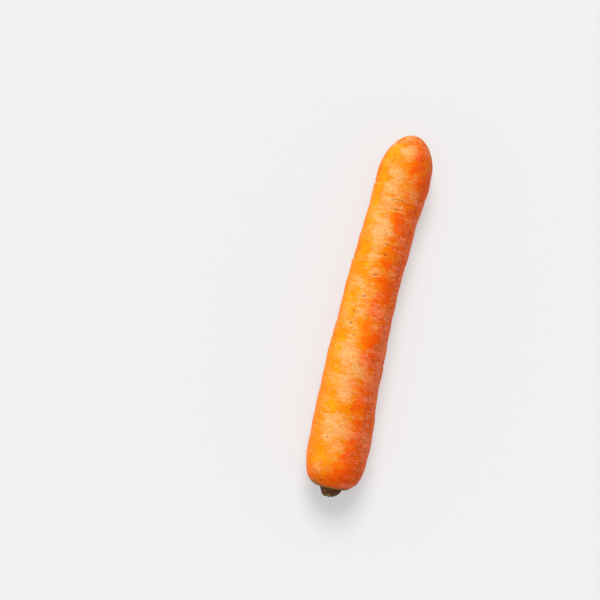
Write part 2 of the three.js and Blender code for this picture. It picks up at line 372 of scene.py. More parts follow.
def spun_root(sizes):
    """The root's outline spun round the straight line it grew along, as a mesh that holds millimetres."""
    radii, alongs = root_outline(sizes.rings)
    bm = bmesh.new()
    ends = [bm.verts.new((0, 0, 0)), bm.verts.new((0, 1, 0))]
    bmesh.ops.subdivide_edges(bm, edges=[bm.edges.new(ends)], cuts=sizes.rings - 2)
    for vert in bm.verts:
        i = round(vert.co.y * (sizes.rings - 1))
        vert.co = (radii[i], alongs[i], 0)
    bmesh.ops.spin(
        bm, geom=bm.verts[:] + bm.edges[:], cent=(0, 0, 0), axis=(0, 1, 0), dvec=(0, 0, 0),
        angle=2 * math.pi, steps=sizes.sectors, use_merge=True, use_duplicate=False,
    )
    bmesh.ops.remove_doubles(bm, verts=bm.verts[:], dist=1e-3)
    bmesh.ops.recalc_face_normals(bm, faces=bm.faces[:])
    mesh = bpy.data.meshes.new("storage_root")
    bm.to_mesh(mesh)
    bm.free()
    return mesh


def crown_relief(straight, radius, a):
    """How far the crown stands back: it puckers round the dip, and one side grew a little less far."""
    along = straight[:, 1]
    at_crown = along < LENGTH / 2
    pucker = np.sin(13 * a + 2.5 * np.sin(3 * a)) + 0.8 * np.sin(31 * a + 2 * np.sin(5 * a) + 1.3)
    near_rim = hump(radius - DIP_RIM, 1.8) * at_crown * (along < 3)
    back = 0.1 * pucker * near_rim * (0.4 + 0.6 * np.sin(2 * a + 0.7) ** 2)
    short = CROWN_SHORT * smooth(2, 11, straight[:, 0]) * (1 - smooth(0.5, 7, along))
    return back + short * smooth(DIP_RIM - 1, DIP_RIM + 3, radius) * at_crown


def tip_knob(along, radius):
    """The small healed knob at the tip, in its shallow ring."""
    return np.where(along < LENGTH / 2, 0, 0.15 * hump(radius, 0.9) - 0.35 * hump(radius - 1.9, 0.7))


def root_piece(sizes):
    """The storage root: a spun body, then swayed, creased and pressed flat where it lies."""
    mesh = spun_root(sizes)
    flat = np.empty(3 * len(mesh.vertices))
    mesh.vertices.foreach_get("co", flat)
    straight = flat.reshape(-1, 3)
    radius = np.hypot(straight[:, 0], straight[:, 2])
    along = straight[:, 1]
    a = np.arctan2(straight[:, 2], straight[:, 0])
    relief, marks = root_relief(sizes, along, np.degrees(a) % 360, straight)

    fade = np.where(along < LENGTH / 2, smooth(DIP_RIM - 1, DIP_RIM + 4, radius), smooth(0, 5, radius))
    out = radius + relief * fade
    lift = height_at(along) + out * np.sin(a)
    run = along + crown_relief(straight, radius, a) + tip_knob(along, radius)
    placed = np.stack([between(SWAYS, along) + out * np.cos(a), run, np.maximum(lift, 0)], 1)
    placed[:, 0] -= (placed[:, 0].min() + placed[:, 0].max()) / 2
    placed = placed * MM + np.array([(ROOT_LOW[0] + ROOT_HIGH[0]) / 2, ROOT_LOW[1], ROOT_LOW[2]])
    mesh.vertices.foreach_set("co", placed.ravel())

    skin = mesh.attributes.new("straight", "FLOAT_VECTOR", "POINT")
    skin.data.foreach_set("vector", straight.ravel())
    for name, values in marks.items():
        mark = mesh.attributes.new(name, "FLOAT", "POINT")
        mark.data.foreach_set("value", values)
    mesh.update()
    mesh.shade_smooth()
    return placed_piece("storage_root", mesh, "carrot_root")


def placed_piece(name, mesh, node):
    """An object for a finished mesh that stands for a node of the frame."""
    piece = bpy.data.objects.new(name, mesh)
    bpy.context.scene.collection.objects.link(piece)
    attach(piece, "root")
    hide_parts(node)
    return piece


# ----------------------------------------------------------------------------------------------------------
# Shape of the leaf stalks


def stalk_into(bm, sizes, k, draw):
    """Adds one cut leaf stalk to a mesh: a block bent to a crescent that leans in to a ragged cut."""
    inwards = k / (sizes.count - 1)
    reach = sizes.outer_radius / MM
    radius = reach + (INNER_RADIUS - reach) * inwards ** 1.4
    half = math.radians(WRAP + INNER_WRAP * inwards)
    wall = sizes.wall / MM * draw.uniform(0.85, 1.1)
    tallest = DIP_DEPTH + sizes.rise / MM
    height = tallest - sizes.rise / MM * 0.1 * (1 - inwards) ** 1.5 - draw.uniform(0, 0.35)
    turn = math.radians(SPIRAL * k)
    phase = draw.uniform(0, 6)
    slant = draw.uniform(-0.5, 0.5)
    green = draw.random() ** 2
    block = bmesh.new()
    cut_mark = block.verts.layers.float.new("cut")
    green_mark = block.verts.layers.float.new("green")
    bmesh.ops.create_cube(block, size=2)
    bmesh.ops.subdivide_edges(block, edges=block.edges[:], cuts=sizes.cuts, use_grid_fill=True)
    for vert in block.verts:
        side, deep, up = vert.co.x, vert.co.y, max(0, (vert.co.z + 1) / 2)
        thick = wall * (0.25 + 0.75 * math.cos(side * math.pi / 2)) / 2
        ribs = 0.1 * math.sin(side * half * 15 + phase) + 0.05 * math.sin(side * half * 37 + 2 * phase)
        torn = smooth(0.72, 1, up)
        cut = slant * side + 0.22 * math.sin(5 * side + phase) + 0.16 * math.sin(13 * side + 2 * deep + phase)
        h = up * height + (cut - 0.25 * deep) * torn
        lean = 1 - STALK_LEAN * max(0, (up * height - 1) / (tallest - 1)) ** 1.1
        r = max(0.15, (radius + deep * (thick + ribs)) * lean)
        angle = turn + side * half * (1 - 0.12 * up)
        x = r * math.cos(angle)
        vert.co = (x, -h - CUT_TILT * (x + reach / 2) * torn, r * math.sin(angle))
        vert[cut_mark] = smooth(0.9, 1, up)
        vert[green_mark] = green
    part = bpy.data.meshes.new("stalk")
    block.to_mesh(part)
    block.free()
    bm.from_mesh(part)
    bpy.data.meshes.remove(part)


def stalk_piece(sizes):
    """The cut leaf stalks, nested in a spiral round the bud, with the dried foot that they grow from."""
    draw = random.Random(SEED + 1)
    bm = bmesh.new()
    bm.verts.layers.float.new("cut")
    bm.verts.layers.float.new("green")
    for k in range(sizes.count):
        stalk_into(bm, sizes, k, draw)
    wide = sizes.outer_radius / MM + FOOT_REACH
    for vert in bmesh.ops.create_icosphere(bm, subdivisions=5, radius=1)["verts"]:
        a = math.atan2(vert.co.z, vert.co.x)
        r = wide * (1 + 0.03 * math.sin(7 * a) + 0.02 * math.sin(17 * a + 1))
        vert.co = (vert.co.x * r, 2.9 * min(vert.co.y, 0.15), vert.co.z * r)
    bmesh.ops.recalc_face_normals(bm, faces=bm.faces[:])
    middle = (STUB_LOW + STUB_HIGH) / 2
    bmesh.ops.scale(bm, vec=(MM, MM, MM), verts=bm.verts[:])
    bmesh.ops.translate(bm, vec=(SWAYS[0] * MM, STUB_HIGH[1], middle[2]), verts=bm.verts[:])
    mesh = bpy.data.meshes.new("cut_leaf_stalks")
    bm.to_mesh(mesh)
    bm.free()
    height = mesh.attributes.new("height", "FLOAT", "POINT")
    height.data.foreach_set("value", [(STUB_HIGH[1] - v.co.y) / MM - DIP_DEPTH for v in mesh.vertices])
    mesh.shade_smooth()
    return placed_piece("cut_leaf_stalks", mesh, "leaf_stalk_stub")


# ----------------------------------------------------------------------------------------------------------
# Materials


def fill(tree, node, inputs):
    """Links or sets each named socket of a node."""
    for socket, value in inputs.items():
        if isinstance(value, bpy.types.NodeSocket):
            tree.links.new(value, node.inputs[socket])
        else:
            node.inputs[socket].default_value = value


def add_node(tree, kind, inputs=None, **settings):
    """Adds a node, with its properties set and its sockets set or linked."""
    made = tree.nodes.new(kind)
    for name, value in settings.items():
        setattr(made, name, value)
    fill(tree, made, inputs or {})
    return made


def new_material(name):
    """A material with nodes, and its tree and shader."""
    material = bpy.data.materials.new(name)
    material.use_nodes = True
    return material, material.node_tree, material.node_tree.nodes["Principled BSDF"]


def shades(colours):
    """Every colour of the carrot by name, as a shader takes it."""
    return SimpleNamespace(**{name: (*getattr(colours, name), 1) for name in colours.__annotations__})


def lumps(tree, place, size, stretch=(1, 1, 1), detail=2.0, rough=0.5):
    """A growth pattern in lumps of that size, drawn out by stretch."""
    scale = tuple(share / size for share in stretch)
    scaled = add_node(tree, "ShaderNodeVectorMath", {0: place, 1: scale}, operation="MULTIPLY").outputs[0]
    kind = {"Vector": scaled, "Scale": 1.0, "Detail": detail, "Roughness": rough}
    return add_node(tree, "ShaderNodeTexNoise", kind).outputs[0]


def weigh(tree, *terms):
    """The sum of its terms. A term (value, weight) is their product. A term (value, weight, low, high) goes
    in an even S from nothing, where the value is low, to the weight, where it is high."""
    total = None
    for value, weight, *limits in terms:
        if limits:
            kind = {"Value": value, "From Min": limits[0], "From Max": limits[1], "To Max": weight}
            part = add_node(tree, "ShaderNodeMapRange", kind, interpolation_type="SMOOTHSTEP").outputs[0]
        else:
            part = add_node(tree, "ShaderNodeMath", {0: value, 1: weight}, operation="MULTIPLY").outputs[0]
        if total is not None:
            part = add_node(tree, "ShaderNodeMath", {0: total, 1: part}, operation="ADD").outputs[0]
        total = part
    return total


def coat(tree, under, over, *terms, way="MIX"):
    """Lays one colour over another, as thickly as the sum of the terms says."""
    kind = {0: weigh(tree, *terms), 6: under, 7: over}
    return add_node(tree, "ShaderNodeMix", kind, data_type="RGBA", blend_type=way).outputs[2]


def skin_ground(tree):
    """What the skin's layers share: places on the root, its marks, patterns in millimetres, and the tools."""
    straight = add_node(tree, "ShaderNodeAttribute", attribute_name="straight").outputs["Vector"]
    pattern = partial(lumps, tree, straight)
    on = SimpleNamespace(tree=tree, straight=straight, pattern=pattern)
    on.sums = partial(weigh, tree)
    on.paint = partial(coat, tree)
    on.side, on.along, on.rise = add_node(tree, "ShaderNodeSeparateXYZ", {0: straight}).outputs
    on.mark = {
        name: add_node(tree, "ShaderNodeAttribute", attribute_name=name).outputs["Fac"]
        for name in MARKS
    }
    on.broad = pattern(16)
    on.cells = pattern(4.5, (0.7, 1, 0.7), 3)
    on.film = pattern(7, (0.75, 1, 0.75), 4, 0.6)
    on.mottle = pattern(1.6, (0.8, 1, 0.8), 3, 0.6)
    on.grain = pattern(1.0, (0.7, 1, 0.7), 2)
    on.lines = pattern(0.8, (0.14, 1, 0.14), 2, 0.6)
    on.wide_lines = pattern(2.4, (0.18, 1, 0.18), 2)
    on.bands = pattern(6, (0.14, 1, 0.14), 1)
    on.striae = pattern(1.1, (0.08, 1, 0.08), 1)
    # Painted shade: the side away from the light starts at a wandering line, darkest some way past it.
    wander = pattern(15, detail=1.0)
    on.flank = on.sums((on.side, 1), (wander, 22), (on.cells, 8), (1.0, -15), (on.along, -2.5, 150, 172))
    on.away = on.sums((on.flank, 1, 2, 12))
    # Chalk and fine lines stay faint on the bright patches.
    on.clear = on.sums((1.0, 1), (on.mark["faded"], -0.7, 0, -0.8))
    return on


def bright_flesh(on, shade):
    """Flesh under clear skin, golden and deep orange in patches, with painted light and shade across it."""
    # Painted light: this grows towards the light, to -X and upwards, and turns the flesh there golden and
    # amber.
    lit_side = on.sums((on.side, -0.041), (on.rise, 0.0585))
    bright = on.sums((on.mark["faded"], 1, 0, -0.8))
    # Painted shade: clear patches towards +X, away from the light, go deeper orange and less golden.
    smooth_right = on.sums((on.side, bright, -9, 1))
    # Deep orange is partly random and partly painted shade on the side away from the light.
    deep = on.sums(
        (on.broad, 0.8), (on.cells, 1.3), (on.bands, 0.4), (on.flank, 0.32, 0, 10), (smooth_right, 0.2)
    )
    flesh = on.paint(shade.orange, shade.deep, (deep, 1, 1.28, 1.58))
    # Golden is partly random and partly painted light on the side towards the light.
    golden = on.sums(
        (on.cells, 1.1), (on.broad, 0.3), (on.wide_lines, 0.3), (lit_side, 0.95),
        (smooth_right, -0.4), (on.flank, -0.3, 1, 7),
    )
    flesh = on.paint(flesh, shade.golden, (golden, 1, 1.31, 1.65))
    # Amber gathers towards -X, on the lit side: partly random patches, partly painted light.
    amber = on.sums(
        (on.pattern(7, (0.8, 0.6, 0.8), 4, 0.6), 2.4), (on.cells, 0.6), (on.mottle, 0.4), (bright, 0.1),
        (on.side, 0.5, 2, -7), (lit_side, -0.5, 0.8, 0.3),
    )
    flesh = on.paint(flesh, shade.amber, (amber, 0.88, 1.94, 2.66))
    # Painted shade: at the far -X edge, where the skin turns from the light, the flesh goes back to plain
    # orange.
    return on.paint(flesh, shade.orange, (on.side, 0.75, -10, -15.5))


def dried_amount(on):
    """Where the skin has dried, and how thickly: ragged patches that stop at growth rings."""
    dry = on.sums(
        (on.mark["faded"], 0.36), (on.film, 2.4), (on.bands, 0.4), (on.mottle, 0.55), (on.grain, 0.3),
        (on.wide_lines, 0.4), (on.striae, 0.35), (on.flank, -0.05, -1, 6), (on.side, 0.1, 8, 13),
        (on.rise, -0.2, 2, -7), (on.mottle, on.sums((on.away, 1.15))),
        (on.wide_lines, on.sums((on.away, 1.2))), (on.away, -1.05), (on.along, 0.07, 172, 182),
    )
    # Partly painted highlight: the dried film is thickest on top, short of the -X edge and of the side away
    # from the light, where the soft highlight falls.
    thick = on.sums(
        (1.0, 0.2), (on.side, 0.8, -14, -8), (on.flank, -0.33, -3, 4), (on.away, 0.12),
        (on.rise, -0.45, 7, -3),
    )
    thick = add_node(on.tree, "ShaderNodeMath", {0: thick, 1: 0.05}, operation="MAXIMUM").outputs[0]
    low = on.sums((1.0, 2.02), (on.away, 0.295, 0, 1))
    high = on.sums((1.0, 2.75), (on.away, -0.155, 0, 1))
    return on.sums((dry, thick, low, high))


def dried_film(on, shade, flesh, dry, faint, chalk):
    """Dried skin over the flesh, with chalky spots on it and fine lines across it."""
    skin = on.paint(flesh, faint, (dry, 1))
    spots = on.sums((dry, 0.2), (on.grain, 1.0), (on.mottle, 0.5), (on.along, 0.05, 18, 3), (on.away, 0.05))
    skin = on.paint(skin, chalk, (spots, on.sums((on.clear, 0.36)), 0.82, 1.06))
    skin = on.paint(skin, faint, (on.lines, on.sums((on.clear, 0.18)), 0.58, 0.75))
    skin = on.paint(skin, shade.deep, (on.lines, 0.25, 0.42, 0.28))
    fine = on.pattern(1.4, (0.5, 1, 0.5), 3, 0.65)
    # Fine mottling darkens the skin a little all over, and more towards +X as painted shade away from the
    # light.
    mottle_depth_and_shade = on.sums((1.0, 0.3), (on.side, 0.4, -14, 10))
    return on.paint(skin, shade.mottle_and_shade, (fine, mottle_depth_and_shade, 0.5, 0.3), way="MULTIPLY")


def wrinkled_flank(on, shade, skin, faint, chalk):
    """Fine wrinkles, folds, blotches and specks, darker away from the light as painted shade."""
    ridge = on.pattern(5, (1, 0.8, 1), 4, 0.6)
    ridge = add_node(on.tree, "ShaderNodeMath", {0: ridge, 1: 0.5}, operation="SUBTRACT").outputs[0]
    ridge = add_node(on.tree, "ShaderNodeMath", {0: ridge}, operation="ABSOLUTE").outputs[0]
    patchy = on.sums((on.sums((on.cells, 1), (on.away, 0.2)), on.clear, 0.6, 0.75))
    on_top = on.sums((1.0, 0.14), (on.side, 0.56, 15, 10))
    skin = on.paint(skin, chalk, (ridge, on.sums((patchy, on_top)), 0.03, 0.0))
    wrinkles = on.pattern(1.5, (1, 0.5, 1), 4, 0.65)
    folds = on.pattern(2.0, (0.3, 1, 0.3), 3, 0.6)
    blotches = on.pattern(3.4, (1, 1.3, 1), 3, 0.6)
    # Painted shade: wrinkles, folds and blotches show only away from the light, in pale and dark strokes.
    skin = on.paint(skin, faint, (wrinkles, on.sums((on.away, 0.45)), 0.54, 0.68))
    skin = on.paint(skin, shade.crease, (wrinkles, on.sums((on.away, 0.6)), 0.47, 0.3))
    skin = on.paint(skin, shade.crease, (folds, on.sums((on.away, 0.4)), 0.46, 0.3))
    skin = on.paint(skin, shade.crease, (blotches, on.sums((on.away, 0.4)), 0.54, 0.72))
    # Partly painted shade: dark specks lie thicker away from the light.
    dust_and_shade = on.sums((on.pattern(1.0, (1, 1.2, 1), 3), 1), (on.mottle, 0.4), (on.cells, 0.5), (on.away, 0.13))
    return on.paint(skin, on.paint(shade.speck, shade.crease, (0.5, 1)), (dust_and_shade, 0.45, 1.06, 1.38))


def corky_marks(on, shade, skin):
    """Cork round the scars and rings: pale lips and brown slits."""
    lips = on.sums((on.mark["lip"], 1), (on.mottle, 1), (on.grain, 0.5))
    skin = on.paint(skin, shade.cork, (lips, 0.8, 0.9, 1.9))
    creases = on.sums((on.mark["crease"], 0.6), (on.mottle, 0.6))
    skin = on.paint(skin, shade.crease, (creases, 0.4, 0.5, 0.9))
    slits = on.sums((on.mark["scar"], 1), (on.mottle, 0.5))
    return on.paint(skin, shade.scar, (slits, 0.85, 0.5, 1.1))


def pore_amount(on):
    """Breathing pores about half a millimetre across, in some of the cells of a 2 mm net."""
    cell = {0: on.straight, 1: (0.45, 0.6, 0.45)}
    cell = add_node(on.tree, "ShaderNodeVectorMath", cell, operation="MULTIPLY").outputs[0]
    pores = add_node(on.tree, "ShaderNodeTexVoronoi", {"Vector": cell, "Scale": 1.0})
    pick = add_node(on.tree, "ShaderNodeSeparateColor", {0: pores.outputs["Color"]}).outputs[0]
    return on.sums((pores.outputs["Distance"], on.sums((pick, 1, 0.5, 0.9)), 0.2, 0.1))


def weathered_crown(on, shade, skin):
    """The crown's tan and olive weathering runs in streaks to the dip; its end and the dip carry painted
    shade.
    """
    flat = {0: on.straight, 1: (1, 0, 1)}
    flat = add_node(on.tree, "ShaderNodeVectorMath", flat, operation="MULTIPLY").outputs[0]
    radius = add_node(on.tree, "ShaderNodeVectorMath", {0: flat}, operation="LENGTH").outputs["Value"]
    outwards = add_node(on.tree, "ShaderNodeVectorMath", {0: flat}, operation="NORMALIZE").outputs[0]
    streaks = {"Vector": outwards, "Scale": 9.0, "Detail": 3.0}
    streaks = add_node(on.tree, "ShaderNodeTexNoise", streaks).outputs[0]
    weather = on.sums(
        (on.along, -0.07), (radius, -0.05), (on.cells, 0.6), (on.mottle, 0.5), (streaks, 0.8),
        (on.side, 0.006),
    )
    skin = on.paint(skin, shade.tan, (weather, 0.75, 0.15, 0.6))
    # Partly painted shade: the skin browns and dulls towards the crown end, which turns away from the light.
    browning_and_shade = on.sums((on.along, -0.06), (on.mottle, 0.8), (on.cells, 0.6))
    skin = on.paint(skin, shade.brown, (browning_and_shade, 0.45, -0.15, 0.55))
    skin = on.paint(skin, shade.mottle_and_shade, (browning_and_shade, 0.9, -0.25, 0.55), way="MULTIPLY")
    at_crown = on.sums((on.along, 1, 6, 4))
    healed = on.sums((on.mark["faded"], 1), (on.mottle, 0.8), (on.grain, 0.4))
    skin = on.paint(skin, shade.pink, (healed, on.sums((at_crown, 0.55)), 0.7, 1.3))
    # Painted shadow: the olive reaches further out on the rim's low -X side, under its lip.
    rim_shadow = on.sums((on.side, on.sums((on.rise, 1, -4, 0)), -3, -9))
    rim = on.sums((radius, 1), (streaks, 5), (on.mottle, 3), (rim_shadow, -1.9))
    skin = on.paint(skin, shade.olive, (rim, on.sums((at_crown, 0.9)), 15.0, 12.8))
    # Painted shade: the dip between the crown's rim and the stalks' foot is dark.
    inside = on.sums((radius, 1), (streaks, 2.5), (on.mottle, 1))
    return on.paint(skin, shade.dip_shade, (inside, at_crown, 10.4, 8.9))


def carrot_skin(colours):
    """Fresh carrot skin: a thin waxy periderm over bright flesh. It is glossy where fresh, and pale and
    chalky where it has dried, with fine lines across the root and cork round the scars."""
    material, tree, shader = new_material("fresh carrot skin")
    shade = shades(colours)
    on = skin_ground(tree)
    # Painted light and shade: dried skin and its chalk are cream towards the light and pinker away from it,
    # where the pink stands in for sheen and the table's reflection.
    faint = on.paint(shade.cream, shade.pink, (on.flank, 1, -2, 10))
    chalk = on.paint(shade.chalk, shade.shaded_chalk, (on.flank, 1, 0, 10))
    dry = dried_amount(on)
    skin = dried_film(on, shade, bright_flesh(on, shade), dry, faint, chalk)
    skin = corky_marks(on, shade, wrinkled_flank(on, shade, skin, faint, chalk))
    pores = pore_amount(on)
    skin = on.paint(skin, shade.speck, (pores, 0.6))
    soil = on.sums((on.mark["fleck"], 1), (on.grain, 0.5))
    skin = on.paint(skin, shade.speck, (soil, 0.75, 0.5, 1.0))
    height = on.sums((on.grain, 0.5), (on.mottle, 0.5), (on.lines, 0.4), (pores, -0.5))
    bump = {"Height": height, "Strength": 0.6, "Distance": 0.4 * MM}
    fill(tree, shader, {
        "Base Color": weathered_crown(on, shade, skin),
        "Roughness": on.sums((1.0, 0.42), (dry, 0.2, 0, 1)),
        "Specular IOR Level": 0.05,
        "IOR": 1.42,
        "Subsurface Weight": 0.12,
        "Subsurface Radius": (1.0, 0.3, 0.1),
        "Subsurface Scale": 1.8 * MM,
        "Normal": add_node(tree, "ShaderNodeBump", bump).outputs[0],
    })
    return material


def dry_stalk(colours):
    """Cut leaf stalks: dead fibrous tissue, dark brown where it has dried and olive where still green."""
    material, tree, shader = new_material("dried leaf stalk")
    shade = shades(colours)
    paint = partial(coat, tree)
    place = add_node(tree, "ShaderNodeTexCoord").outputs["Object"]
    height, cut, green = (
        add_node(tree, "ShaderNodeAttribute", attribute_name=name).outputs["Fac"]
        for name in ("height", "cut", "green")
    )
    blotch = lumps(tree, place, 1.3 * MM)
    fibre = lumps(tree, place, 0.35 * MM, (1, 0.12, 1))
    speckle = lumps(tree, place, 0.5 * MM)
    tissue = paint(shade.stalk, shade.stalk_red, (blotch, 1, 0.45, 0.62))
    tissue = paint(tissue, shade.stalk_olive, (fibre, 0.35, 0.5, 0.7))
    tissue = paint(tissue, shade.stalk_speck, (speckle, 0.6, 0.56, 0.68))
    tissue = paint(tissue, shade.stalk_olive, (1.0, 0.6), (height, -0.6, -0.4, 1.2))
    fresh = paint(shade.stalk_olive, shade.stalk_green, (green, 1))
    tissue = paint(tissue, fresh, (cut, weigh(tree, (1.0, 0.35), (blotch, 0.65, 0.4, 0.6))))
    bump = {"Height": fibre, "Strength": 0.6, "Distance": 0.3 * MM}
    fill(tree, shader, {
        "Base Color": tissue,
        "Roughness": 0.6,
        "Specular IOR Level": 0.15,
        "Normal": add_node(tree, "ShaderNodeBump", bump).outputs[0],
    })
    return material


# ----------------------------------------------------------------------------------------------------------
# Stage

PICTURE = 600  # pixels each way
TIP_PIXEL = (405.9, 134.5)  # where the tip's end shows
ROOT_PIXELS = 360  # the root's length as shown
LEAN = math.radians(11.37)  # of the carrot in the picture, tip to the right
TIP_X = 0.45 * MM  # of the straight line that the sways are measured from
SENSOR_WIDTH = 36  # of the camera, in millimetres
CLIP_END = 20  # in metres, past the far side of the sweep
TABLE_SIDES = 128
SWEEP_STEPS = 16


def direction(turn, rise):
    """The way to a light, from its turn round the carrot and its rise above the table."""
    return Vector((math.cos(rise) * math.cos(turn), math.cos(rise) * math.sin(turn), math.sin(rise)))


def add_light(name, kind, turn, rise, distance, power, lit, blockers):
    """A light from a direction. It lights only the objects in lit, and only the blockers cast shadows."""
    light = bpy.data.lights.new(name, kind)
    light.energy = power
    lamp = bpy.data.objects.new(name, light)
    way = direction(turn, rise)
    lamp.location = way * distance
    lamp.rotation_euler = way.to_track_quat("Z", "Y").to_euler()
    bpy.context.scene.collection.objects.link(lamp)
    receivers = bpy.data.collections.new(name + "_lights")
    for piece in lit:
        receivers.objects.link(piece)
    lamp.light_linking.receiver_collection = receivers
    shades = bpy.data.collections.new(name + "_blockers")
    for piece in blockers:
        shades.objects.link(piece)
    lamp.light_linking.blocker_collection = shades
    return light


def add_camera(stage):
    """Looks straight down, turned so that the carrot leans, and moved so that it lies right of the middle."""
    pixel = LENGTH * MM / ROOT_PIXELS
    right = Vector((math.cos(LEAN), math.sin(LEAN), 0))
    up = Vector((-math.sin(LEAN), math.cos(LEAN), 0))
    middle = RADII[5] * MM
    tip = Vector((TIP_X, ROOT_HIGH[1], middle))
    aim = tip - right * (TIP_PIXEL[0] - PICTURE / 2) * pixel - up * (PICTURE / 2 - TIP_PIXEL[1]) * pixel
    data = bpy.data.cameras.new("camera")
    data.sensor_width = SENSOR_WIDTH
    data.lens = data.sensor_width * stage.camera_height / (PICTURE * pixel)
    data.clip_end = CLIP_END
    camera = bpy.data.objects.new("camera", data)
    camera.location = aim + Vector((0, 0, stage.camera_height))
    camera.rotation_euler = (0, 0, LEAN)
    bpy.context.scene.collection.objects.link(camera)
    bpy.context.scene.camera = camera


def table_mesh(stage):
    """A round table top whose edge curves up into the background."""
    bm = bmesh.new()
    radius = stage.floor_radius
    bmesh.ops.create_circle(bm, cap_ends=True, cap_tris=False, segments=TABLE_SIDES, radius=radius)
    for step in range(1, SWEEP_STEPS + 1):
        rim = [edge for edge in bm.edges if edge.is_boundary]
        grown = bmesh.ops.extrude_edge_only(bm, edges=rim)["geom"]
        a = math.pi / 2 * step / SWEEP_STEPS
        out = radius + stage.sweep_radius * math.sin(a)
        for vert in (part for part in grown if isinstance(part, bmesh.types.BMVert)):
            vert.co = Vector((vert.co.x, vert.co.y, 0)).normalized() * out
            vert.co.z = stage.sweep_radius * (1 - math.cos(a))
    bmesh.ops.recalc_face_normals(bm, faces=bm.faces[:])
    mesh = bpy.data.meshes.new("table_top")
    bm.to_mesh(mesh)
    bm.free()
    mesh.shade_smooth()
    return mesh


def pale_table(stage):
    """Pale matt table top. Its glow makes up for the top light where the sweep turns away from that light,
    so that the background stays even."""
    material, tree, shader = new_material("pale matt table")
    normal = add_node(tree, "ShaderNodeNewGeometry").outputs["Normal"]
    facing = {0: normal, 1: direction(stage.top_turn, stage.top_rise)}
    facing = add_node(tree, "ShaderNodeVectorMath", facing, operation="DOT_PRODUCT").outputs["Value"]
    facing = add_node(tree, "ShaderNodeMath", {0: facing, 1: 0.0}, operation="MAXIMUM").outputs[0]
    glow = {"Value": facing, "From Min": math.sin(stage.top_rise), "From Max": 0}
    glow.update({"To Min": stage.floor_glow, "To Max": stage.sweep_glow})
    fill(tree, shader, {
        "Base Color": (*stage.floor_colour, 1),
        "Roughness": 0.9,
        "Specular IOR Level": 0.0,
        "Emission Color": (1, 1, 1, 1),
        "Emission Strength": add_node(tree, "ShaderNodeMapRange", glow, clamp=False).outputs[0],
    })
    return material


def add_floor(stage):
    """A plain pale table top that sweeps up into its own background, far behind the lights."""
    mesh = table_mesh(stage)
    floor = bpy.data.objects.new("table_top", mesh)
    bpy.context.scene.collection.objects.link(floor)
    mesh.materials.append(pale_table(stage))
    return floor


def build_stage(stage):
    """Lights the carrot from one side and the table from above, and looks at them from straight above."""
    scene = bpy.context.scene
    scene.view_settings.view_transform = "Standard"
    world = bpy.data.worlds.new("studio")
    world.use_nodes = True
    world.node_tree.nodes["Background"].inputs[0].default_value = (1, 1, 1, 1)
    world.node_tree.nodes["Background"].inputs[1].default_value = stage.sky_strength
    scene.world = world
    distance = stage.softbox_distance
    pieces = [bpy.data.objects[name] for name in ("storage_root", "cut_leaf_stalks")]
    side = add_light(
        "side_softbox", "AREA", stage.side_turn, stage.side_rise, distance, stage.side_power, pieces, pieces
    )
    side.shape = "DISK"
    side.size = stage.softbox_size
    floor = add_floor(stage)
    top = add_light(
        "top_light", "SUN", stage.top_turn, stage.top_rise, distance, stage.top_strength, [floor], pieces
    )
    top.angle = stage.top_width
    add_camera(stage)


# ----------------------------------------------------------------------------------------------------------
# Properties


def length_property(name, description, metres):
    """A size that a user can change."""
    return bpy.props.FloatProperty(name=name, description=description, default=metres, unit="LENGTH")


def angle_property(name, description, degrees):
    """An angle that a user can change."""
    default = math.radians(degrees)
    return bpy.props.FloatProperty(name=name, description=description, default=default, subtype="ANGLE")


def colour_property(name, description, hex_colour):
    """A colour that a user can change, given as sRGB hex."""
    return bpy.props.FloatVectorProperty(
        name=name, description=description, default=linear(hex_colour), subtype="COLOR", min=0, max=1
    )


class CARROT_PG_root(bpy.types.PropertyGroup):
    rings: bpy.props.IntProperty(name="Rings", description="Points from crown to tip", default=500, min=50)
    sectors: bpy.props.IntProperty(name="Sectors", description="Points round the root", default=190, min=24)
    ring_depth: length_property("Ring depth", "Depth of a growth ring's crease", 0.35 * MM)
    scar_depth: length_property("Scar depth", "Depth of a side root's scar", 0.5 * MM)
    fine_rings: bpy.props.IntProperty(
        name="Fine rings", description="Number of short shallow lines across the root", default=150, min=0
    )
    flecks: bpy.props.IntProperty(
        name="Flecks", description="Number of small dark flecks", default=150, min=0
    )


class CARROT_PG_stalks(bpy.types.PropertyGroup):
    count: bpy.props.IntProperty(name="Stalks", description="Number of cut leaf stalks", default=12, min=3)
    cuts: bpy.props.IntProperty(
        name="Cuts", description="Subdivisions along each side of a stalk", default=13, min=3
    )
    outer_radius: length_property("Outer radius", "Radius of the outermost stalk's middle", 6.15 * MM)
    wall: length_property("Wall", "Thickness of a stalk at its middle", 1.6 * MM)
    rise: length_property("Rise", "Height of the tallest stalk past the crown's rim", 4.9 * MM)


